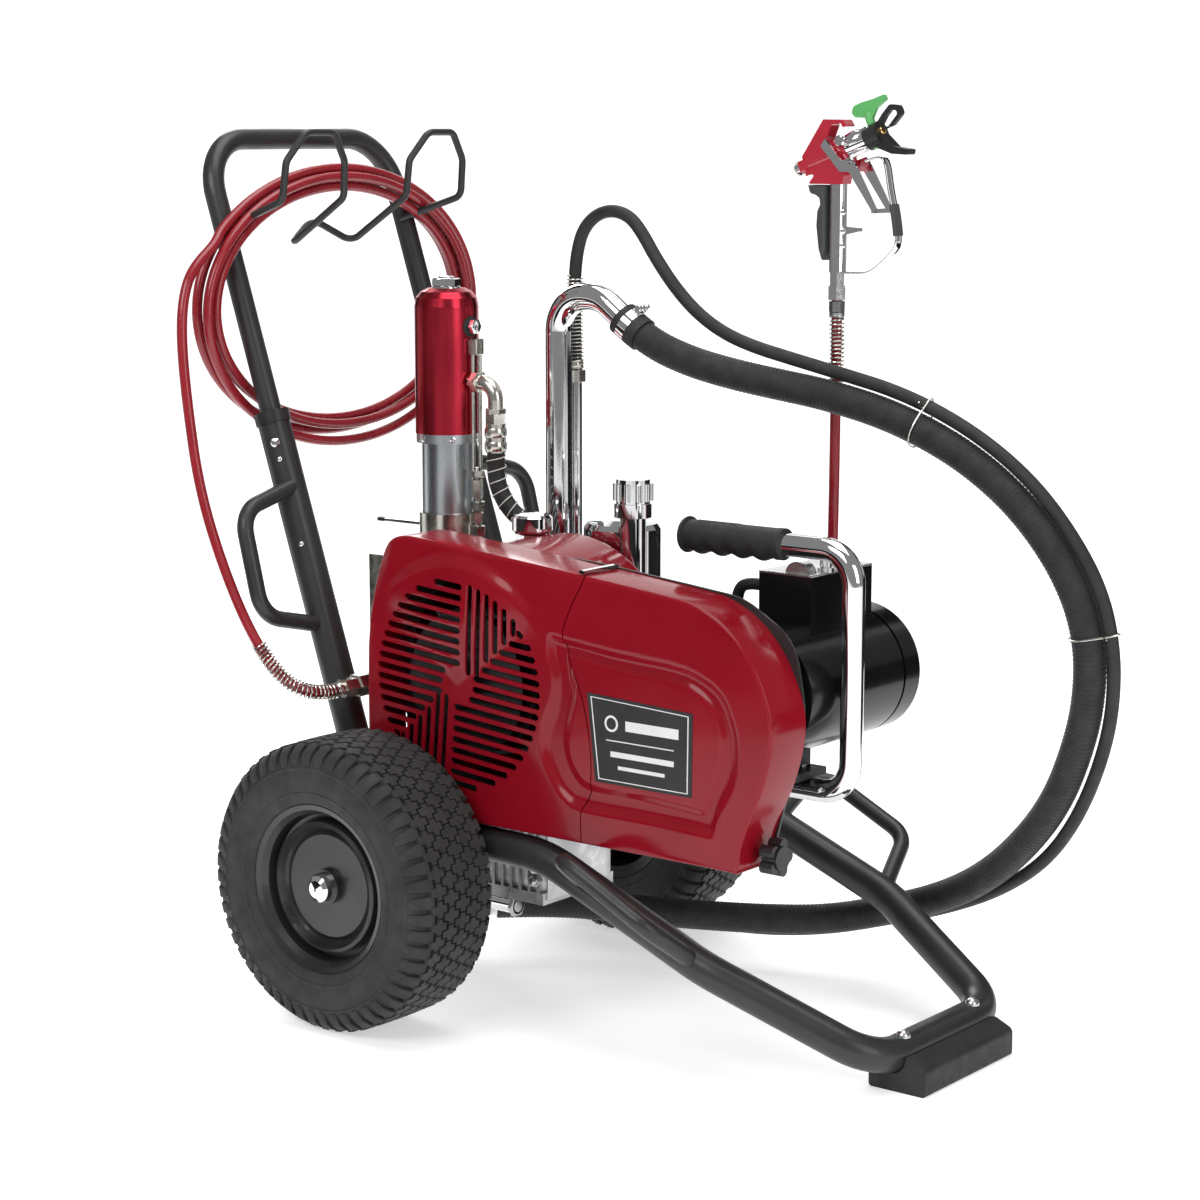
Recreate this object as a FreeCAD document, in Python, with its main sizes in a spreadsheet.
import FreeCAD, Part
import math
import os
from FreeCAD import Placement, Rotation, Vector

# Airless paint sprayer on a two-wheel cart.
# Units are millimetres.  X points forward to the foot, Y to the far side, Z up.
# The origin is on the floor in the middle of the machine's box.
# Lengths along X below are given from the axle and shifted by axle_x.

os.makedirs("parts", exist_ok=True)
doc = FreeCAD.newDocument("airless_sprayer")

SIZES = [
    ("axle_x", -158.74, "axle centre along X"),
    ("wheel_radius", 165, "tyre radius, 13 inch cart tyre"),
    ("wheel_width", 127, "tyre width, 5 inch"),
    ("wheel_offset", 260.5, "tyre middle from the centre plane"),
    ("tread_depth", 7, "depth of the tread blocks"),
    ("rim_radius", 95, "rim flange radius"),
    ("bead_radius", 86, "rim barrel radius"),
    ("axle_radius", 8, "axle radius"),
    ("bearing_gap", 0.05, "radial running clearance"),
    ("frame_radius", 19, "cart frame tube radius"),
    ("frame_wall", 3, "cart frame tube wall"),
    ("handle_radius", 12.7, "sliding handle tube radius"),
    ("loop_radius", 9.5, "lift loop tube radius"),
    ("rack_radius", 4.25, "hose rack rod radius"),
    ("upright_y", 158, "upright from the centre plane"),
    ("rail_y", 180, "rail from the centre plane"),
    ("rail_height", 209, "rail centre height"),
    ("handle_top", 985, "handle bar centre height"),
    ("foot_x", 606, "foot bar centre ahead of the axle"),
    ("foot_height", 38, "foot bar centre height"),
    ("deck_top", 234, "top of the deck plate"),
    ("deck_thickness", 6, "deck plate thickness"),
    ("guard_near", -190, "outer face of the belt guard"),
    ("guard_back", -128, "open edge of the belt guard"),
    ("guard_wall", 3, "belt guard wall"),
    ("vent_x", 97, "vent centre ahead of the axle"),
    ("vent_height", 388, "vent centre height"),
    ("vent_radius", 127, "raised vent disc radius"),
    ("vent_reach", 118, "reach of the vent slots"),
    ("slot_width", 6.2, "vent slot width"),
    ("slot_pitch", 12.4, "vent slot spacing"),
    ("shroud_radius", 147, "red tank shroud radius"),
    ("shroud_near", -125, "near end of the shroud"),
    ("shroud_far", 30, "far end of the shroud"),
    ("motor_x", 444, "motor shaft ahead of the axle"),
    ("motor_height", 408, "motor shaft height"),
    ("motor_radius", 72, "motor body radius"),
    ("motor_near", -110, "near end of the motor"),
    ("motor_far", 110, "far end of the motor"),
    ("pump_x", -88, "pump column ahead of the axle"),
    ("pump_y", 10, "pump column from the centre plane"),
    ("cap_radius", 38, "red hydraulic cylinder radius"),
    ("sleeve_radius", 30.5, "spacer sleeve radius"),
    ("nut_radius", 34.5, "packing nut radius"),
    ("pump_radius", 26, "paint pump cylinder radius"),
    ("rod_radius", 11, "piston rod radius"),
    ("siphon_radius", 16, "siphon tube radius"),
    ("return_radius", 7.5, "return tube radius"),
    ("filter_radius", 46, "filter housing radius"),
    ("knob_radius", 22, "pressure knob radius"),
    ("hose_radius", 6, "paint hose radius"),
    ("suction_radius", 18, "suction hose radius"),
    ("gun_x", 360, "gun handle ahead of the axle"),
    ("gun_y", 165, "gun plane from the centre plane"),
    ("coil_x", -253, "hose coil middle, ahead of the axle"),
    ("coil_height", 785, "hose coil centre height"),
    ("coil_half_width", 281, "hose coil half width"),
    ("coil_half_height", 169, "hose coil half height"),
    ("coil_bundle", 26, "hose coil bundle thickness"),
    ("return_hose_radius", 7.5, "return hose radius"),
    ("pressure_hose_radius", 10.5, "hydraulic hose radius"),
]

dims = doc.addObject("Spreadsheet::Sheet", "dims")
for row, (alias, value, note) in enumerate(SIZES, start=1):
    dims.set("A%d" % row, note)
    dims.set("B%d" % row, str(value))
    dims.setAlias("B%d" % row, alias)
doc.recompute()


def size(alias):
    return float(dims.get(alias))


SHIFT = size("axle_x")
NODES = []


def at(x, y, z):
    return Vector(x + SHIFT, y, z)


def part(label, shape):
    item = doc.addObject("Part::Feature", label)
    item.Shape = shape
    item.Placement = Placement()
    NODES.append(item)
    return item


def node(item, label):
    item.Label = label
    NODES.append(item)
    return item


def bound_cylinder(name, base, direction, radius_rule, height_rule):
    item = doc.addObject("Part::Cylinder", name)
    item.setExpression("Radius", radius_rule)
    item.setExpression("Height", height_rule)
    item.Placement = Placement(base, Rotation(Vector(0, 0, 1), direction))
    return item


def origin_plane(body, role):
    for feature in body.Origin.OriginFeatures:
        if feature.Role == role:
            return feature
    raise RuntimeError("no plane " + role)


def sketched(name, role, outline):
    body = doc.addObject("PartDesign::Body", name)
    sketch = body.newObject("Sketcher::SketchObject", name + "_sketch")
    sketch.AttachmentSupport = [(origin_plane(body, role), "")]
    sketch.MapMode = "FlatFace"
    corners = [Vector(a, b, 0) for a, b in outline]
    for start, end in zip(corners, corners[1:] + corners[:1]):
        sketch.addGeometry(Part.LineSegment(start, end), False)
    return body, sketch


def padded(name, outline, length_rule, spot, turn):
    body, sketch = sketched(name, "XY_Plane", outline)
    pad = body.newObject("PartDesign::Pad", name + "_pad")
    pad.Profile = sketch
    pad.setExpression("Length", length_rule)
    body.Tip = pad
    body.Placement = Placement(spot, turn)
    return body


def revolved(name, outline, spot, turn):
    body, sketch = sketched(name, "XZ_Plane", outline)
    turned = body.newObject("PartDesign::Revolution", name + "_turned")
    turned.Profile = sketch
    turned.ReferenceAxis = (sketch, ["V_Axis"])
    turned.Angle = 360
    body.Tip = turned
    body.Placement = Placement(spot, turn)
    return body


def cylinder(base, direction, radius, height):
    return Part.makeCylinder(radius, height, base, direction)


def ring(base, direction, outer, inner, height):
    return cylinder(base, direction, outer, height).cut(cylinder(base, direction, inner, height))


def hexagon(base, direction, across, height):
    corner = across / math.sqrt(3)
    points = []
    for step in range(7):
        angle = math.radians(60 * step)
        points.append(Vector(corner * math.cos(angle), corner * math.sin(angle), 0))
    solid = Part.Face(Part.makePolygon(points)).extrude(Vector(0, 0, height))
    solid.Placement = Placement(base, Rotation(Vector(0, 0, 1), direction))
    return solid


def turned_solid(outline, base, direction):
    turn = Rotation(Vector(0, 0, 1), direction)
    points = [base + turn.multVec(Vector(r, 0, z)) for r, z in outline]
    face = Part.Face(Part.makePolygon(points + points[:1]))
    return face.revolve(base, direction, 360)


def rounded_wire(points, radii, closed):
    count = len(points)
    trims = []
    for index, point in enumerate(points):
        if not closed and index in (0, count - 1):
            trims.append(None)
            continue
        before = points[index - 1]
        after = points[(index + 1) % count]
        incoming = point.sub(before)
        outgoing = after.sub(point)
        half = incoming.getAngle(outgoing) / 2
        radius = radii[index] if radii else None
        if radius is None:
            radius = 0.45 * min(incoming.Length, outgoing.Length) / math.tan(half)
        if half < 1e-4 or radius <= 0:
            trims.append(None)
            continue
        trim = radius * math.tan(half)
        unit_in = Vector(incoming).normalize()
        unit_out = Vector(outgoing).normalize()
        start = point.sub(unit_in * trim)
        end = point.add(unit_out * trim)
        bisector = unit_out.sub(unit_in).normalize()
        centre = point.add(bisector * (radius / math.cos(half)))
        middle = centre.sub(bisector * radius)
        trims.append((start, middle, end, radius))
    edges = []
    smallest = 1e9
    spans = count if closed else count - 1
    for index in range(spans):
        following = (index + 1) % count
        start = trims[index][2] if trims[index] else points[index]
        end = trims[following][0] if trims[following] else points[following]
        if start.distanceToPoint(end) > 1e-6:
            edges.append(Part.LineSegment(start, end).toShape())
        if trims[following]:
            arc = trims[following]
            edges.append(Part.Arc(arc[0], arc[1], arc[2]).toShape())
            smallest = min(smallest, arc[3])
    return Part.Wire(edges), smallest


def tube(points, radius, radii=None, name=None):
    path, smallest = rounded_wire(points, radii, False)
    direction = points[1].sub(points[0])
    profile = Part.Wire(Part.makeCircle(radius, points[0], direction))
    solid = path.makePipeShell([profile], True, False)
    if name:
        ideal = math.pi * radius * radius * path.Length
        print(name, "length %.0f" % path.Length, "least bend %.0f" % smallest,
              "volume ratio %.3f" % (solid.Volume / ideal))
    return solid


def slab(outline, radii, near, far):
    points = [at(x, near, z) for x, z in outline]
    wire, smallest = rounded_wire(points, radii, True)
    return Part.Face(wire).extrude(Vector(0, far - near, 0))


def mirrored(points):
    return [Vector(p.x, -p.y, p.z) for p in reversed(points)]


# Cart frame: one bent tube with two uprights, two rails and the foot bar,
# with the lift loops, axle plates and deck tabs welded on.
upright_y = size("upright_y")
rail_y = size("rail_y")
lean_top = at(-210, 0, 657)
lean_low = at(-60, 0, 209)
lean = Vector(lean_top.x - lean_low.x, 0, lean_top.z - lean_low.z).normalize()
sleeve_top = Vector(lean_top.x, -upright_y, lean_top.z)
frame_side = [
    sleeve_top,
    at(-60, -upright_y, size("rail_height")),
    at(215, -rail_y, size("rail_height")),
    at(430, -182, 122),
    at(size("foot_x"), -118, size("foot_height")),
]
frame_points = frame_side + mirrored(frame_side)
bend = [0, 90, 150, 120, 58]
frame_bends = bend + list(reversed(bend))
frame_tube = tube(frame_points, size("frame_radius"), frame_bends, "cart_frame")
frame_bore_r = size("frame_radius") - size("frame_wall")
frame_bore = tube(frame_points, frame_bore_r, frame_bends)
loops = []
plates = []
for side in (-1, 1):
    grab = [
        at(-177, side * (upright_y + 8), 586),
        at(-171, side * 253, 566),
        at(-141, side * 253, 448),
        at(-133, side * (upright_y + 8), 428),
    ]
    loops.append(tube(grab, size("loop_radius"), [0, 34, 34, 0]))
    low = [
        at(272, side * rail_y, 186),
        at(285, side * 252, 238),
        at(409, side * 252, 176),
        at(423, side * (rail_y + 2), 125),
    ]
    loops.append(tube(low, size("loop_radius"), [0, 30, 30, 0]))
    hanger = Part.makeBox(56, 8, 62, at(-28, side * 160 - 4, 150))
    plates.append(hanger.cut(cylinder(at(0, -400, 165), Vector(0, 1, 0), size("axle_radius"), 800)))
frame_shape = frame_tube.fuse(loops + plates).cut(frame_bore)
for side in (-1, 1):
    socket_top = Vector(sleeve_top.x, side * upright_y, sleeve_top.z)
    frame_shape = frame_shape.cut(cylinder(socket_top + lean * 5, lean * -1, frame_bore_r, 350))
foot_bores = []
for side in (-1, 1):
    spot = at(size("foot_x") + 4, side * 70.5, 0)
    foot_bores.append(cylinder(spot, Vector(0, 0, 1), 4, 100))
for bore in foot_bores:
    frame_shape = frame_shape.cut(bore)
part("cart_frame", frame_shape)

# Rubber foot under the bar, shaped to cradle it, and its two bolts.
pad_half = 90
foot_outline = [(580, 0), (650, 0), (650, 30), (628, 40), (580, 30)]
foot = slab(foot_outline, [4, 4, 8, 8, 4], -pad_half, pad_half)
bar = cylinder(at(size("foot_x"), -200, size("foot_height")), Vector(0, 1, 0),
               size("frame_radius"), 400)
foot = foot.cut(bar)
bolts = []
for side in (-1, 1):
    spot = at(size("foot_x") + 4, side * 70.5, 6)
    top = size("foot_height") + size("frame_radius") - 0.5
    foot = foot.cut(cylinder(spot, Vector(0, 0, 1), 4, 60))
    shank = cylinder(spot, Vector(0, 0, 1), 4, top - 6)
    head = Part.makeSphere(8, at(size("foot_x") + 4, side * 70.5, top - 2), Vector(0, 0, 1), 0, 90)
    head = head.cut(bar)
    bolts.append(shank.fuse(head))
part("foot_pad", foot)
part("foot_bolts", Part.makeCompound(bolts))

# Deck plate across the rails.
deck_outline = [(-50, -165), (240, -165), (240, 165), (-50, 165)]
deck = padded("deck_body", deck_outline, "dims.deck_thickness",
              at(0, 0, size("deck_top") - size("deck_thickness")), Rotation())
node(deck, "deck_plate")

# Axle, wheels and hub caps.
axle = bound_cylinder("axle_rod", at(0, -306.6, 165), Vector(0, 1, 0), "dims.axle_radius", "613.2")
node(axle, "axle")
caps = []
for side, name in ((-1, "left"), (1, "right")):
    out = Rotation(Vector(0, 0, 1), Vector(0, side, 0))
    middle = at(0, side * size("wheel_offset"), 165)
    rim_r = size("rim_radius")
    bead = size("bead_radius")
    bore = size("axle_radius") + size("bearing_gap")
    rim_outline = [
        (bore, -40), (22, -40), (22, 34), (57, 34), (62, 29), (67, 35), (70, 43), (73, 41),
        (77, 29), (bead - 4, 31), (bead - 4, -53), (rim_r, -57), (rim_r, -53), (bead, -49),
        (bead, 49), (rim_r, 53), (rim_r, 57), (89, 55), (84, 48), (81, 35), (77, 34), (74, 46),
        (70, 48), (66, 40), (62, 34), (58, 38.5), (20, 38.5), (20, 46), (bore, 46),
    ]
    rim = revolved("rim_%s_body" % name, rim_outline, middle, out)
    node(rim, "rim_" + name)
    half = size("wheel_width") / 2
    big = size("wheel_radius")
    tyre_outline = [
        (bead + 0.2, -49), (bead + 9.5, -52.8), (bead + 9.5, -58), (108, -62), (128, -half),
        (148, -61), (160, -54), (big, -44), (big, 44), (160, 54), (148, 61), (128, half),
        (108, 62), (bead + 9.5, 58), (bead + 9.5, 52.8), (bead + 0.2, 49), (bead + 0.2, 36),
        (104, 52), (128, 54), (146, 48), (151, 30), (151, -30), (146, -48), (128, -54),
        (104, -52), (bead + 0.2, -36),
    ]
    tyre = revolved("tyre_%s_body" % name, tyre_outline, middle, out)
    node(tyre, "tyre_" + name)
    cap_outline = [(0, 0), (17, 0), (17, 5), (15, 10), (10, 13.5), (0, 15)]
    caps.append(turned_solid(cap_outline, at(0, side * 306.6, 165), Vector(0, side, 0)))
part("hub_caps", Part.makeCompound(caps))

# Sliding handle, its plastic collars and snap buttons, and the hose rack.
handle_r = size("handle_radius")
low_end = 200
handle_side = [
    Vector(sleeve_top.x, -upright_y, sleeve_top.z) - lean * low_end,
    at(-210, -upright_y, 657) + lean * ((size("handle_top") - 657) / lean.z),
]
handle_points = handle_side + mirrored(handle_side)
handle_tube = tube(handle_points, handle_r, [0, 68, 68, 0], "handle_tube")
handle_bore = tube(handle_points, handle_r - 2, [0, 68, 68, 0])
part("handle_tube", handle_tube.cut(handle_bore))
collars = []
for side in (-1, 1):
    top = Vector(sleeve_top.x, side * upright_y, sleeve_top.z)
    outer = cylinder(top, lean, 21, 14)
    spigot = cylinder(top - lean * 40, lean, size("frame_radius") - size("frame_wall"), 40)
    collar = outer.fuse(spigot).cut(cylinder(top - lean * 60, lean, handle_r + 0.05, 120))
    collars.append(collar)
part("sleeve_collars", Part.makeCompound(collars))
rack_side = [
    at(-281, -146, 886), at(-191, -157, 915), at(-186, -155, 960), at(-179, -129, 993),
    at(-178, -83, 993), at(-186, -57, 960), at(-190, -55, 917), at(-279, -53, 860),
]
rack_points = rack_side + [at(-295, 0, 889)] + mirrored(rack_side)
rack_bends = [0, 14, 16, 16, 16, 16, 14, 14, 30, 14, 14, 16, 16, 16, 16, 14, 0]
rack = tube(rack_points, size("rack_radius"), rack_bends, "hose_rack")
rack = rack.cut(tube(handle_points, handle_r, [0, 68, 68, 0]))
rack_pieces = sorted(rack.Solids, key=lambda piece: piece.Volume)
part("hose_rack", rack_pieces[-1])

# Finned cast reservoir under the deck.
fin_count = 8
fin_pitch = 13.5
block = Part.makeBox(108, 116, 104, at(10, -58, 124))
floor_box = Part.makeBox(108, 132, 14, at(10, -66, 111))
block = block.fuse(floor_box)
fins = []
for index in range(fin_count):
    for side in (-1, 1):
        corner = 10 + index * fin_pitch + 4
        low = -66 if side < 0 else 58
        fins.append(Part.makeBox(4, 8, 117, at(corner, low, 111)))
part("reservoir", block.fuse(fins).cut(
    cylinder(at(0, -100, 165), Vector(0, 1, 0), size("axle_radius") + 3, 200)))

# Red tank shroud, with its back plate, and the filler cap.
vent = at(size("vent_x"), 0, size("vent_height"))
near = size("shroud_near")
far = size("shroud_far")
shroud_r = size("shroud_radius")
drum_base = Vector(vent.x, near, vent.z)
drum = cylinder(drum_base, Vector(0, 1, 0), shroud_r, far - near)
drum = drum.makeFillet(16, [edge for edge in drum.Edges if edge.BoundBox.YMin > far - 1])
hollow = cylinder(drum_base, Vector(0, 1, 0), shroud_r - 4, far - near - 4)
hollow = hollow.makeFillet(12, [edge for edge in hollow.Edges if edge.BoundBox.YMin > far - 5])
drum = drum.cut(hollow)
drum = drum.cut(cylinder(Vector(vent.x, far - 10, vent.z), Vector(0, 1, 0), 30, 20))
foot_block = Part.makeBox(120, 100, 20, at(37, -104, size("deck_top")))
foot_block = foot_block.cut(cylinder(drum_base, Vector(0, 1, 0), shroud_r - 2, far - near))
neck = cylinder(at(50, 0, 500), Vector(0, 0, 1), 15, 34)
neck = neck.cut(cylinder(drum_base, Vector(0, 1, 0), shroud_r - 2, far - near))
part("tank_shroud", drum.fuse([foot_block, neck]))
cap_outline = [(0, 0), (22, 0), (24, 3), (24, 18), (21, 21), (0, 23)]
part("tank_cap", turned_solid(cap_outline, at(50, 0, 534), Vector(0, 0, 1)))

# Hydraulic pump behind the shroud's back plate, with its valve block.
pump_can = cylinder(Vector(vent.x, -60, vent.z), Vector(0, 1, 0), 29.5, 90)
pump_flange = cylinder(Vector(vent.x, far, vent.z), Vector(0, 1, 0), 44, 12)
valve_block = Part.makeBox(125, 104, 40, at(60, 34, 405))
pump_tail = cylinder(Vector(vent.x, far, vent.z), Vector(0, 1, 0), 40, 60)
hydraulic = pump_can.fuse([pump_flange, valve_block, pump_tail])
shaft_bore = cylinder(Vector(vent.x, -61, vent.z), Vector(0, 1, 0), 9.05, 60)
part("hydraulic_pump", hydraulic.cut(shaft_bore))
filter_outline = [
    (0, 0), (40, 0), (40, 6), (46, 10), (46, 84), (46, 90), (42, 96), (30, 101), (0, 104),
]
part("filter_housing", turned_solid(filter_outline, at(112, 92, 445), Vector(0, 0, 1)))
stem_outline = [(0, 0), (15, 0), (15, 110), (12, 110), (12, 125), (0, 125)]
part("pressure_valve", turned_solid(stem_outline, at(160, 49, 445), Vector(0, 0, 1)).cut(
    cylinder(at(112, 92, 440), Vector(0, 0, 1), 46.3, 200)))
knob_body = ring(at(160, 49, 556), Vector(0, 0, 1), size("knob_radius"), 12.05, 16)
knob_body = knob_body.fuse(cylinder(at(160, 49, 571), Vector(0, 0, 1), 20, 29))
flutes = []
for index in range(10):
    angle = math.radians(36 * index)
    spot = at(160 + 20 * math.cos(angle), 49 + 20 * math.sin(angle), 575)
    flutes.append(cylinder(spot, Vector(0, 0, 1), 3.6, 20))
knob_body = knob_body.fuse(flutes)
part("pressure_knob", knob_body)

# Belt guard: a back plate and two moulded shells that meet at a curved seam.
guard_outline = [
    (-34, 236), (-34, 540), (240, 533), (440, 513), (505, 475), (521, 395), (478, 233.5),
]
guard_radii = [14, 42, 900, 90, 60, 120, 30]
near_y = size("guard_near")
back_y = size("guard_back")
wall = size("guard_wall")
outer = slab(guard_outline, guard_radii, near_y, back_y)
front_edges = [edge for edge in outer.Edges if edge.BoundBox.YMax < near_y + 0.1]
outer = outer.makeFillet(9, front_edges)
disc_cone = turned_solid([(0, 0), (size("vent_radius"), 0), (size("vent_radius") - 6, 5), (0, 5)],
                         at(size("vent_x"), near_y, size("vent_height")), Vector(0, -1, 0))
inner_outline = [
    (-31, 239), (-31, 537), (240, 530), (439, 510), (502.5, 473), (518, 395), (475.5, 236.5),
]
inner_radii = [11, 39, 900, 87, 57, 117, 27]
inner = slab(inner_outline, inner_radii, near_y + wall, back_y + 1)
inner_disc = cylinder(at(size("vent_x"), near_y + wall + 1, size("vent_height")),
                      Vector(0, -1, 0), size("vent_radius") - 10, 6)
shell = outer.fuse(disc_cone).cut(inner).cut(inner_disc)

# Vent slots in a pinwheel: half of them are listed, the rest are turned half round.
pitch = size("slot_pitch")
reach = size("vent_reach")
half_slot = size("slot_width") / 2
row_ends = [3] * 8 + [-18, -22, -22, -33, -45, -57, -70]
slots = []


def slot_between(u0, v0, u1, v1):
    length = math.hypot(u1 - u0, v1 - v0)
    solid = Part.makeCylinder(half_slot, 30)
    if length > 0.1:
        box = Part.makeBox(length, 2 * half_slot, 30, Vector(0, -half_slot, 0))
        solid = solid.fuse([box, Part.makeCylinder(half_slot, 30, Vector(length, 0, 0))])
    angle = math.degrees(math.atan2(v1 - v0, u1 - u0))
    solid.Placement = Placement(Vector(u0, v0, 0), Rotation(Vector(0, 0, 1), angle))
    return solid


for half in (0, 1):
    group = []
    for index, end in enumerate(row_ends):
        height = 112 - pitch * index
        begin = -math.sqrt(reach * reach - height * height) + half_slot
        group.append(slot_between(begin, height, end - half_slot, height))
    group.append(slot_between(-84, -74, -84, -74))
    for index in range(6):
        across = 14.7 + 12.2 * index
        upper = math.sqrt(reach * reach - across * across) - half_slot
        lower = 17 if index < 2 else 36.6 + pitch * (index - 2)
        group.append(slot_between(across, lower, across, upper))
    pattern = Part.makeCompound(group)
    pattern.rotate(Vector(0, 0, 0), Vector(0, 0, 1), 180 * half)
    slots.append(pattern)
slot_tool = Part.makeCompound(slots)
slot_tool.rotate(Vector(0, 0, 0), Vector(0, 0, 1), -5)
slot_tool.rotate(Vector(0, 0, 0), Vector(1, 0, 0), 90)
slot_tool.translate(at(size("vent_x"), near_y + 12, size("vent_height")))
shell = shell.cut(slot_tool)

seam = [
    at(274, near_y - 20, 560), at(262, near_y - 20, 500), at(250, near_y - 20, 455),
    at(268, near_y - 20, 400), at(284, near_y - 20, 335), at(280, near_y - 20, 290),
    at(272, near_y - 20, 200),
]
seam_curve = Part.BSplineCurve()
seam_curve.interpolate(seam)
seam_edge = seam_curve.toShape()
far_right = [at(272, near_y - 20, 200), at(620, near_y - 20, 200), at(620, near_y - 20, 560),
             at(274, near_y - 20, 560)]
front_wire = Part.Wire(Part.__sortEdges__([seam_edge] + [
    Part.LineSegment(a, b).toShape() for a, b in zip(far_right, far_right[1:])]))
front_space = Part.Face(front_wire).extrude(Vector(0, 120, 0))
guard_front = shell.common(front_space)
guard_rear = shell.cut(front_space)
part("guard_rear", guard_rear)
part("guard_front", guard_front)
plate = slab(guard_outline, guard_radii, back_y, back_y + 3)
plate = plate.cut(cylinder(Vector(vent.x, back_y - 5, vent.z), Vector(0, 1, 0), 122, 20))
plate = plate.cut(cylinder(at(size("motor_x"), back_y - 5, size("motor_height")),
                           Vector(0, 1, 0), 20, 20))
part("guard_plate", plate)
latch = Part.makeBox(7, 60, 7, at(269, near_y + 1, 526))
latch = latch.cut(slab(guard_outline, guard_radii, near_y, back_y + 3))
part("guard_latch", latch)
star = cylinder(at(491, -150, 247), Vector(1, 0, 0), 13, 18)
for index in range(5):
    angle = math.radians(72 * index)
    star = star.fuse(cylinder(at(491, -150 + 14 * math.cos(angle), 247 + 14 * math.sin(angle)),
                              Vector(1, 0, 0), 7, 16))
star = star.cut(cylinder(at(490, -150, 247), Vector(1, 0, 0), 4, 12))
stud = cylinder(at(483, -150, 247), Vector(1, 0, 0), 4, 18)
part("guard_knob", star.fuse(stud))

# Belt drive: motor pulley and shaft, fan pulley and shaft, and the belt.
motor_axis = at(size("motor_x"), 0, size("motor_height"))
drive_r = 38
fan_r = 78
belt_near = -172
belt_width = 20


def pulley(centre, radius, bore_start, shaft_r, shaft_end):
    body = cylinder(Vector(centre.x, belt_near - 3, centre.z), Vector(0, 1, 0), radius + 4, 3)
    body = body.fuse([
        cylinder(Vector(centre.x, belt_near, centre.z), Vector(0, 1, 0), radius, belt_width),
        cylinder(Vector(centre.x, belt_near + belt_width, centre.z), Vector(0, 1, 0),
                 radius + 4, 3),
        cylinder(Vector(centre.x, bore_start, centre.z), Vector(0, 1, 0), shaft_r,
                 shaft_end - bore_start),
    ])
    return body


part("motor_pulley", pulley(motor_axis, drive_r, belt_near, 12, size("motor_near")))
fan_hub = pulley(vent, fan_r, belt_near, 9, -5)
fan_hub = fan_hub.fuse(cylinder(Vector(vent.x, belt_near + belt_width, vent.z), Vector(0, 1, 0),
                                fan_r + 6, 15))
blades = [fan_hub]
for index in range(8):
    blade = Part.makeBox(34, 14, 3, Vector(fan_r + 1, -150, -1.5))
    blade.rotate(Vector(fan_r + 18, -143, 0), Vector(1, 0, 0), 35)
    blade.rotate(Vector(0, 0, 0), Vector(0, 1, 0), 45 * index)
    blade.translate(Vector(vent.x, 0, vent.z))
    blades.append(blade)
part("fan_pulley", blades[0].fuse(blades[1:]))
span = motor_axis.sub(vent)
distance = span.Length
belt_thick = 4
reach_angle = math.asin((fan_r - drive_r) / distance)


def belt_section(extra):
    base = Vector(span).normalize()
    side = Vector(-base.z, 0, base.x)
    tilt_c = math.cos(math.pi / 2 - reach_angle)
    tilt_s = math.sin(math.pi / 2 - reach_angle)
    big = fan_r + 0.3 + extra
    small = drive_r + 0.3 + extra
    up_dir = base * tilt_c + side * tilt_s
    down_dir = base * tilt_c - side * tilt_s
    y = Vector(0, belt_near + 2, 0)
    a = vent + up_dir * big + y
    b = motor_axis + up_dir * small + y
    c = motor_axis + down_dir * small + y
    d = vent + down_dir * big + y
    nose = motor_axis + base * small + y
    tail = vent - base * big + y
    wire = Part.Wire([
        Part.LineSegment(a, b).toShape(), Part.Arc(b, nose, c).toShape(),
        Part.LineSegment(c, d).toShape(), Part.Arc(d, tail, a).toShape(),
    ])
    return Part.Face(wire).extrude(Vector(0, belt_width - 4, 0))


part("drive_belt", belt_section(belt_thick).cut(belt_section(0)))

# Electric motor, end bell, control box and switch.
motor_r = size("motor_radius")
motor_near = size("motor_near")
motor_far = size("motor_far")
bell = 40
can = cylinder(Vector(motor_axis.x, motor_near, motor_axis.z), Vector(0, 1, 0), motor_r,
               motor_far - bell - motor_near)
feet = Part.makeBox(80, 55, 24, at(395, -105, 322))
can = can.fuse(feet)
part("motor_body", can)
bell_outline = [(0, 0), (69, 0), (69, 4), (72, 4), (72, 33), (66, 40), (0, 40)]
part("end_bell", turned_solid(bell_outline,
                              Vector(motor_axis.x, motor_far - bell, motor_axis.z),
                              Vector(0, 1, 0)))
control = Part.makeBox(67, 118, 70, at(417, -66, 460))
control = control.cut(cylinder(Vector(motor_axis.x, -200, motor_axis.z), Vector(0, 1, 0),
                               motor_r, 400))
control = control.cut(cylinder(at(462, -58.2, 530), Vector(0, 1, 0), 13.05, 16.4))
part("control_box", control)
part("power_switch", cylinder(at(462, -58, 530), Vector(0, 1, 0), 13, 16))

# Cradle that carries the motor ahead of the deck, lift handle and grip.
cradle_top = 322
top_plate = Part.makeBox(150, 76, 8, at(335, -110, cradle_top - 8))
cheeks = []
for y in (-104, -46):
    cheek = [(170, 234), (240, 234), (480, 314), (345, 314)]
    cheeks.append(slab(cheek, [0, 0, 0, 0], y, y + 6))
part("motor_cradle", top_plate.fuse(cheeks))
lift_points = [at(324, -60, 562), at(533, -60, 562), at(533, -60, 301.5), at(440, -60, 301.5)]
lift = tube(lift_points, 12.5, [0, 36, 36, 0], "motor_handle")
part("motor_handle", lift)
grip = cylinder(at(318, -60, 562), Vector(1, 0, 0), 17, 128)
grip = grip.cut(cylinder(at(324, -60, 562), Vector(1, 0, 0), 12.5, 200))
part("handle_grip", grip)

# Vertical paint pump driven by the red hydraulic cylinder.
pump = at(size("pump_x"), size("pump_y"), 0)


def up(height):
    return Vector(pump.x, pump.y, height)


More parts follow.
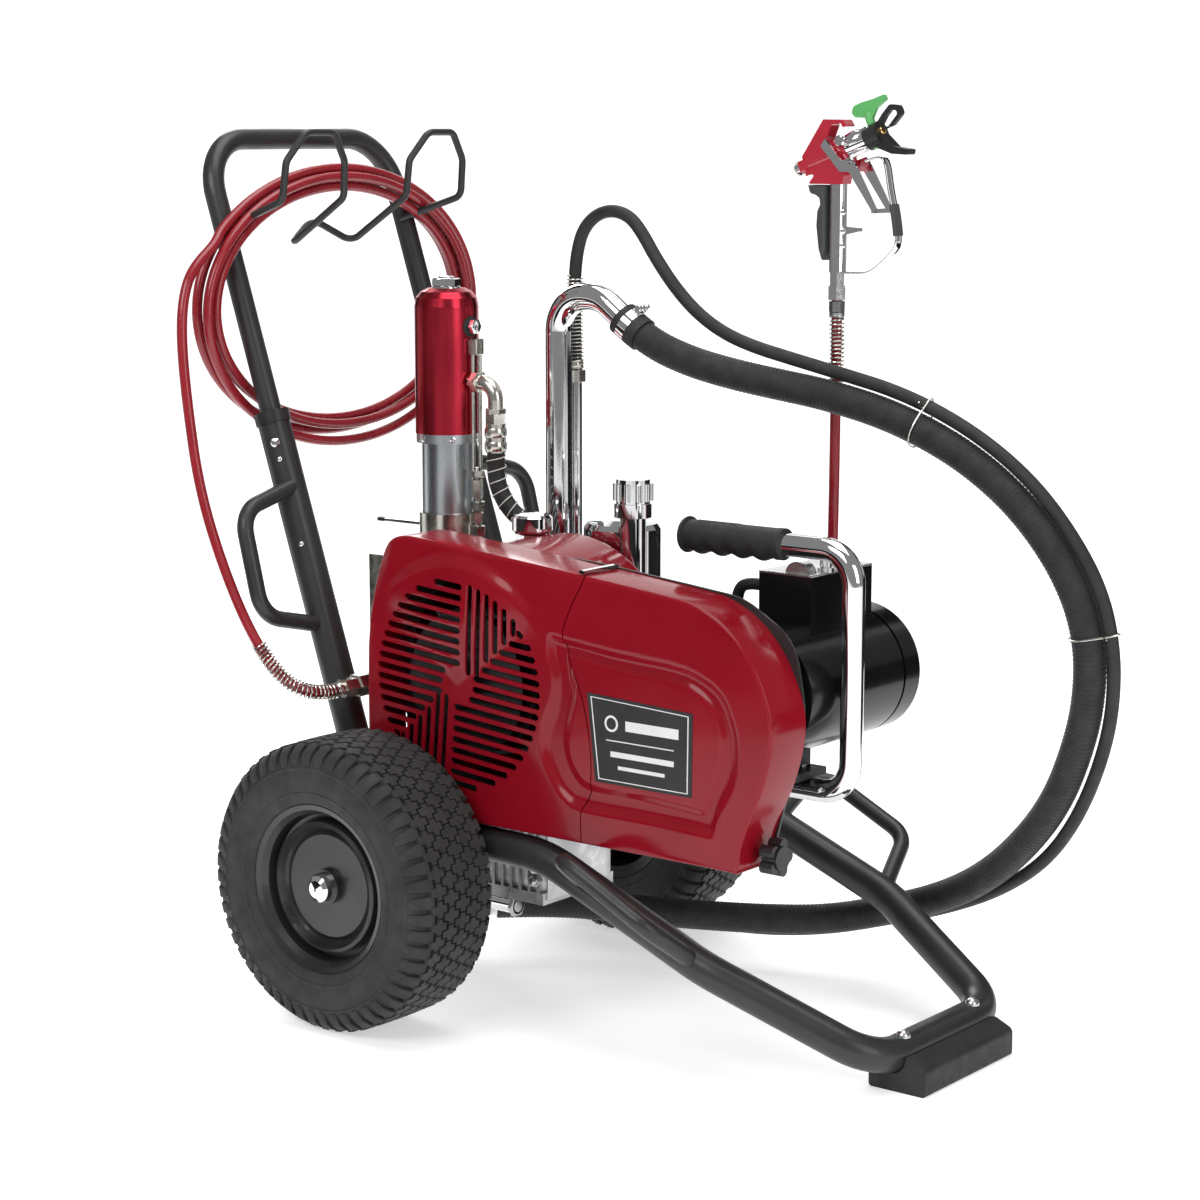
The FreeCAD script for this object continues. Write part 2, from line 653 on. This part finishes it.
cap_r = size("cap_radius")
rod_gap = size("rod_radius") + size("bearing_gap")
red_outline = [
    (0, 0), (cap_r, 0), (cap_r, 150), (36, 160), (30, 167), (22, 171), (0, 171),
]
red = turned_solid(red_outline, up(641), Vector(0, 0, 1))
red = red.cut(cylinder(up(640), Vector(0, 0, 1), rod_gap, 110))
part("hydraulic_cylinder", red)
spacer_outline = [
    (rod_gap + 3, 546), (size("sleeve_radius"), 546), (size("sleeve_radius"), 630), (37, 630),
    (37, 641), (rod_gap + 3, 641),
]
part("spacer_sleeve", turned_solid(spacer_outline, up(0), Vector(0, 0, 1)))
packing = ring(up(517), Vector(0, 0, 1), size("nut_radius"), rod_gap, 29)
part("packing_nut", packing)
barrel = cylinder(up(110), Vector(0, 0, 1), size("pump_radius"), 407)
barrel = barrel.cut(cylinder(up(250), Vector(0, 0, 1), rod_gap, 300))
outlet_x = -72
manifold = Part.makeBox(62, 66, 155, at(-118, -75, 345))
flange = Part.makeBox(83, 8, 155, at(-139, -75, 345))
manifold = manifold.fuse(flange).cut(
    cylinder(up(300), Vector(0, 0, 1), size("pump_radius") - 4, 300))
bleed = cylinder(Vector(pump.x, pump.y, 140), Vector(1, 1, 0), 8, 40)
fluid = barrel.fuse([manifold, bleed])
part("fluid_section", fluid)
part("piston_rod", cylinder(up(330), Vector(0, 0, 1), size("rod_radius"), 380))
valve_outline = [(0, 0), (20, 0), (30, 14), (32, 34), (30, 58), (27, 74), (0, 74)]
valve = turned_solid(valve_outline, up(36), Vector(0, 0, 1))
suction_barb = cylinder(Vector(pump.x, pump.y, 60), Vector(1, 1, 0), 14.5, 55.1)
drain_stub = cylinder(Vector(pump.x, pump.y, 77), Vector(1, 0, 0), 9, 48)
drain_hex = hexagon(Vector(pump.x + 46, pump.y, 77), Vector(1, 0, 0), 30, 18)
drain_barb = cylinder(Vector(pump.x + 64, pump.y, 77), Vector(1, 0, 0), 10, 42)
valve = valve.fuse([suction_barb, drain_stub, drain_hex, drain_barb])
valve = valve.cut(cylinder(Vector(pump.x + 66, pump.y, 77), Vector(1, 0, 0), 7.5, 60))
part("foot_valve", valve)
outlet_pipe = cylinder(at(outlet_x, -75, 364), Vector(0, -1, 0), 9, 76)
outlet_hex = hexagon(at(outlet_x, -148, 364), Vector(0, -1, 0), 24, 26)
swivel_hex = hexagon(at(outlet_x, -174, 364), Vector(0, -1, 0), 20, 23)
part("outlet_fitting", outlet_pipe.fuse([outlet_hex, swivel_hex]))

# Elbow on the red cylinder and the pressure hose down to the valve block.
elbow_path = [Vector(pump.x + cap_r, pump.y, 703), Vector(-13 + SHIFT, pump.y, 703),
              Vector(-13 + SHIFT, pump.y, 668)]
elbow = tube(elbow_path, 9, [0, 20, 0])
elbow = elbow.cut(cylinder(up(600), Vector(0, 0, 1), cap_r, 200))
elbow = elbow.fuse([
    hexagon(Vector(-13 + SHIFT, pump.y, 656), Vector(0, 0, 1), 22, 12),
    cylinder(Vector(-13 + SHIFT, pump.y, 622), Vector(0, 0, 1), 12, 34),
])
part("elbow_fitting", elbow)
pressure_path = [
    at(-13, size("pump_y"), 622), at(-13, size("pump_y"), 586), at(2.6, 17.4, 552.1),
    at(55.4, 42.6, 514.9), at(71, 50, 481), at(71, 50, 445),
]
part("pressure_hose", tube(pressure_path, size("pressure_hose_radius"), None, "pressure_hose"))

# Siphon tube (a hook shaped rigid tube) and the return tube beside it.
siphon_path = [at(22, 85, 234), at(22, 85, 804), at(86, 85, 804), at(117, 85, 781)]
part("siphon_tube", tube(siphon_path, size("siphon_radius"), [0, 42, 48, 0], "siphon_tube"))
return_tube = bound_cylinder("return_pipe", at(27, 111, size("deck_top")), Vector(0, 0, 1),
                             "dims.return_radius", "480")
node(return_tube, "return_tube")

# Spray gun.
gun_y = size("gun_y")
gun = at(size("gun_x"), gun_y, 0)


def gun_at(dx, height):
    return Vector(gun.x + dx, gun_y, height)


def gun_plate(outline, radii, half_thick):
    points = [Vector(gun.x + dx, gun_y - half_thick, z) for dx, z in outline]
    wire, smallest = rounded_wire(points, radii, True)
    return Part.Face(wire).extrude(Vector(0, 2 * half_thick, 0))


barrel_dir = Vector(math.cos(math.radians(20)), 0, math.sin(math.radians(20)))
barrel_up = Vector(-barrel_dir.z, 0, barrel_dir.x)
barrel_foot = gun_at(-47, 955)
body_outline = [
    (-35, 936), (10.8, 936), (12.6, 946), (18, 964), (16.4, 986), (-3.9, 983), (-11, 987),
    (-5.2, 1001.6), (7.8, 1003.2), (9.8, 998.8), (15.6, 999.8), (10.4, 1007.3), (-16, 1007.6),
    (-44, 966), (-37.7, 945.3), (-26, 947),
]
gun_main = gun_plate(body_outline, [1.5] * len(body_outline), 9)
gun_main = gun_main.fuse([
    cylinder(barrel_foot + barrel_dir * 12, barrel_dir, 11, 54),
    hexagon(barrel_foot + barrel_dir * 12.5, barrel_dir * -1, 20, 13),
])
pivot = gun_at(-8.5, 979)
gun_main = gun_main.cut(cylinder(pivot + Vector(0, -20, 0), Vector(0, 1, 0), 3.05, 40))
part("gun_body", gun_main)
grip_tube = cylinder(gun_at(0, 838), Vector(0, 0, 1), 9.8, 98)
ledge = gun_plate([(4, 878), (30, 884), (30, 888), (4, 890)], [0, 0, 0, 0], 4)
part("gun_handle", grip_tube.fuse(ledge))
swivel = hexagon(gun_at(0, 823), Vector(0, 0, 1), 16, 15).fuse(
    hexagon(gun_at(0, 807), Vector(0, 0, 1), 19, 16))
part("gun_swivel", swivel)
back_outline = [
    (-34, 935.7), (-9.9, 935.7), (-9.9, 851), (-20, 851), (-25, 862), (-17, 880), (-26, 896),
    (-19, 914), (-33, 926),
]
back = gun_plate(back_outline, [2, 0, 0, 4, 6, 6, 6, 6, 3], 9)
back = back.cut(cylinder(gun_at(0, 800), Vector(0, 0, 1), 10, 200))
part("gun_grip", back)
trigger_outline = [
    (-14, 978), (-8, 986), (14, 962), (26, 966), (34, 956), (61, 909), (56, 906), (24, 950),
    (12, 950),
]
trigger_legs = []
for side in (-1, 1):
    points = [Vector(gun.x + dx, gun_y + side * 15.5 - 1.5, z) for dx, z in trigger_outline]
    wire, smallest = rounded_wire(points, [0] * len(points), True)
    trigger_legs.append(Part.Face(wire).extrude(Vector(0, 3, 0)))
pin = cylinder(pivot + Vector(0, -17, 0), Vector(0, 1, 0), 3, 34)
bridge = Part.makeBox(5, 34, 5, gun_at(54.5, 905) + Vector(0, -17, 0))
part("gun_trigger", trigger_legs[0].fuse([trigger_legs[1], pin, bridge]))
diffuser = cylinder(barrel_foot + barrel_dir * 66, barrel_dir, 13, 26)
part("gun_diffuser", diffuser)
guard_foot = barrel_foot + barrel_dir * 92
tip_base = cylinder(guard_foot, barrel_dir, 14, 18)
upper_outer = gun_plate([(48, 1000), (58, 1014), (67, 1024), (80, 1023), (84, 1014), (64, 992)],
                        [0, 3, 5, 5, 4, 0], 3)
upper_inner = gun_plate([(57, 1001), (63, 1011), (69, 1018), (76, 1017), (77, 1013), (65, 999)],
                        [2, 2, 3, 2, 2, 2], 6)
lower = gun_plate([(46, 986), (56, 976), (74, 970), (94, 969), (96, 975), (76, 978), (60, 992)],
                  [0, 3, 3, 2, 2, 2, 0], 8)
key_foot = guard_foot + barrel_dir * 8
tip_guard = tip_base.fuse([upper_outer.cut(upper_inner), lower])
tip_guard = tip_guard.cut(cylinder(key_foot - barrel_up * 30, barrel_up, 5.05, 60))
tip_guard = tip_guard.cut(cylinder(guard_foot + barrel_dir * 4, barrel_dir, 4, 60))
tip_solids = sorted(tip_guard.Solids, key=lambda piece: piece.Volume)
part("tip_guard", tip_solids[-1])
key_pin = cylinder(key_foot - barrel_up * 14, barrel_up, 5, 41)
flag = gun_plate([(36, 1009), (22, 1009.5), (17, 1015), (20, 1022), (30, 1026), (46, 1030),
                  (60, 1035), (62, 1029), (50, 1020), (44, 1008)], [2, 5, 4, 4, 5, 8, 2, 2, 5, 2], 2.5)
flag = flag.cut(gun_plate([(48, 1000), (58, 1014.4), (67, 1024.6), (90, 1024.6), (84, 990)],
                          [0, 0, 0, 0, 0], 6))
part("tip_key", key_pin.fuse(flag))

# Trigger guard strip of the gun.
strap_line = [(57, 966), (74, 940), (82, 872), (50, 841), (9, 841)]
strap = tube([gun_at(dx, z) for dx, z in strap_line], 2.6, [0, 8, 12, 12, 0])
strap = strap.cut(cylinder(gun_at(0, 800), Vector(0, 0, 1), 9.8, 200))
brace = tube([gun_at(57, 966), gun_at(45, 972)], 2.6)
strap = strap.fuse(brace).cut(cylinder(barrel_foot, barrel_dir, 14.3, 140))
strap_solids = sorted(strap.Solids, key=lambda piece: piece.Volume)
part("trigger_guard", strap_solids[-1])

# Paint hose: outlet tail, hung coil, and the run to the gun.
hose_r = size("hose_radius")
coil_x = size("coil_x")
coil_z = size("coil_height")
half_w = size("coil_half_width")
half_h = size("coil_half_height")
bundle = size("coil_bundle")


def oval(width, height, x):
    shape = Part.Ellipse(Vector(0, 0, 0), width, height).toShape()
    face = Part.Face(Part.Wire(shape))
    face.rotate(Vector(0, 0, 0), Vector(0, 0, 1), 90)
    face.rotate(Vector(0, 0, 0), Vector(0, 1, 0), 90)
    face.rotate(Vector(0, 0, 0), Vector(1, 0, 0), 0)
    face.translate(at(x, 0, coil_z))
    return face


coil_outer = oval(half_w, half_h, coil_x - bundle / 2).extrude(Vector(bundle, 0, 0))
coil_inner = oval(half_w - bundle, half_h - bundle, coil_x - bundle / 2).extrude(
    Vector(bundle, 0, 0))
coil = coil_outer.cut(coil_inner)
print("coil box", coil.BoundBox)
part("paint_hose_coil", coil)
outlet_tail = [
    at(outlet_x, -197, 364), at(outlet_x, -235, 362), at(-100, -268, 378), at(-140, -281, 426),
    at(-182, -290, 500), at(-218, -298, 590), at(-236, -303, 690), at(-246, -304, 760),
    at(-251, -300, 806), at(-253, -286, 839), at(-253, -262.8, 855.3),
]
part("paint_hose_outlet", tube(outlet_tail, hose_r, None, "paint_hose_outlet"))
gun_tail = [
    at(size("gun_x"), gun_y, 807), at(size("gun_x"), gun_y, 660), at(358, 166, 510),
    at(352, 166, 390), at(320, 164, 330), at(250, 160, 312), at(170, 152, 306),
    at(90, 145, 307), at(10, 138, 312), at(-70, 118, 320), at(-130, 98, 350),
    at(-160, 104, 420), at(-195, 134, 490), at(-232, 172, 560), at(-253, 205, 620),
    at(-253, 221, 674),
]
part("paint_hose_gun", tube(gun_tail, hose_r, None, "paint_hose_gun"))

# Suction hose from the siphon tube round the front and back to the foot valve.
suction = [
    at(117, 85, 781), at(150, 86, 756.5), at(204, 94, 735), at(262, 102, 722),
    at(318, 111, 713), at(382, 118, 704),
    at(468, 120, 685), at(551, 120, 652), at(616, 120, 610), at(664, 120, 562),
    at(697, 122, 510), at(712, 126, 455), at(708, 134, 395), at(690, 146, 338),
    at(658, 162, 272), at(610, 182, 214), at(548, 206, 160), at(480, 222, 120),
    at(410, 218, 94), at(342, 192, 76), at(270, 166, 70), at(196, 146, 66), at(120, 128, 63),
    at(50, 115, 61), at(-10.1, 87.9, 60), at(-49, 49, 60),
]
part("siphon_hose", tube(suction, size("suction_radius"), None, "siphon_hose"))
return_run = [
    at(27, 111, 714), at(25.5, 111, 780), at(25.5, 111, 826), at(29.5, 111, 856),
    at(39, 110.5, 881), at(58.5, 110, 898), at(84, 109, 904), at(109.5, 108, 897),
    at(128, 107.5, 878.5), at(148, 107, 850), at(175, 107, 818), at(206, 107, 790),
    at(243, 108, 768), at(284, 110, 754), at(332, 114, 743), at(384, 120, 731),
    at(478, 122, 711), at(564, 122, 676),
    at(635, 122, 630), at(686, 122, 577), at(724, 124, 518), at(739, 128, 456),
    at(735, 138, 390), at(716, 152, 328), at(682, 168, 258), at(632, 192, 196),
    at(560, 226, 144), at(480, 248, 104), at(404, 242, 78), at(330, 214, 58),
    at(258, 188, 50), at(190, 172, 50), at(110, 158, 52), at(50, 142, 66), at(6, 108, 98),
    at(-34, 64, 137), at(-59.7, 38.3, 140),
]
part("return_hose", tube(return_run, size("return_hose_radius"), None, "return_hose"))

doc.recompute()
total = 0
for item in NODES:
    if "Invalid" in item.State or "Error" in item.State:
        raise RuntimeError("bad state " + item.Label)
    if item.Shape.isNull() or not item.Shape.isValid():
        raise RuntimeError("bad shape " + item.Label)
    if not item.Shape.Solids:
        raise RuntimeError("no solid in " + item.Label)
    if len(item.Shape.Solids) > 1:
        print("several solids", item.Label, len(item.Shape.Solids))
    item.Shape.exportStep("parts/" + item.Label + ".step")
    total += 1
print("pieces", total)
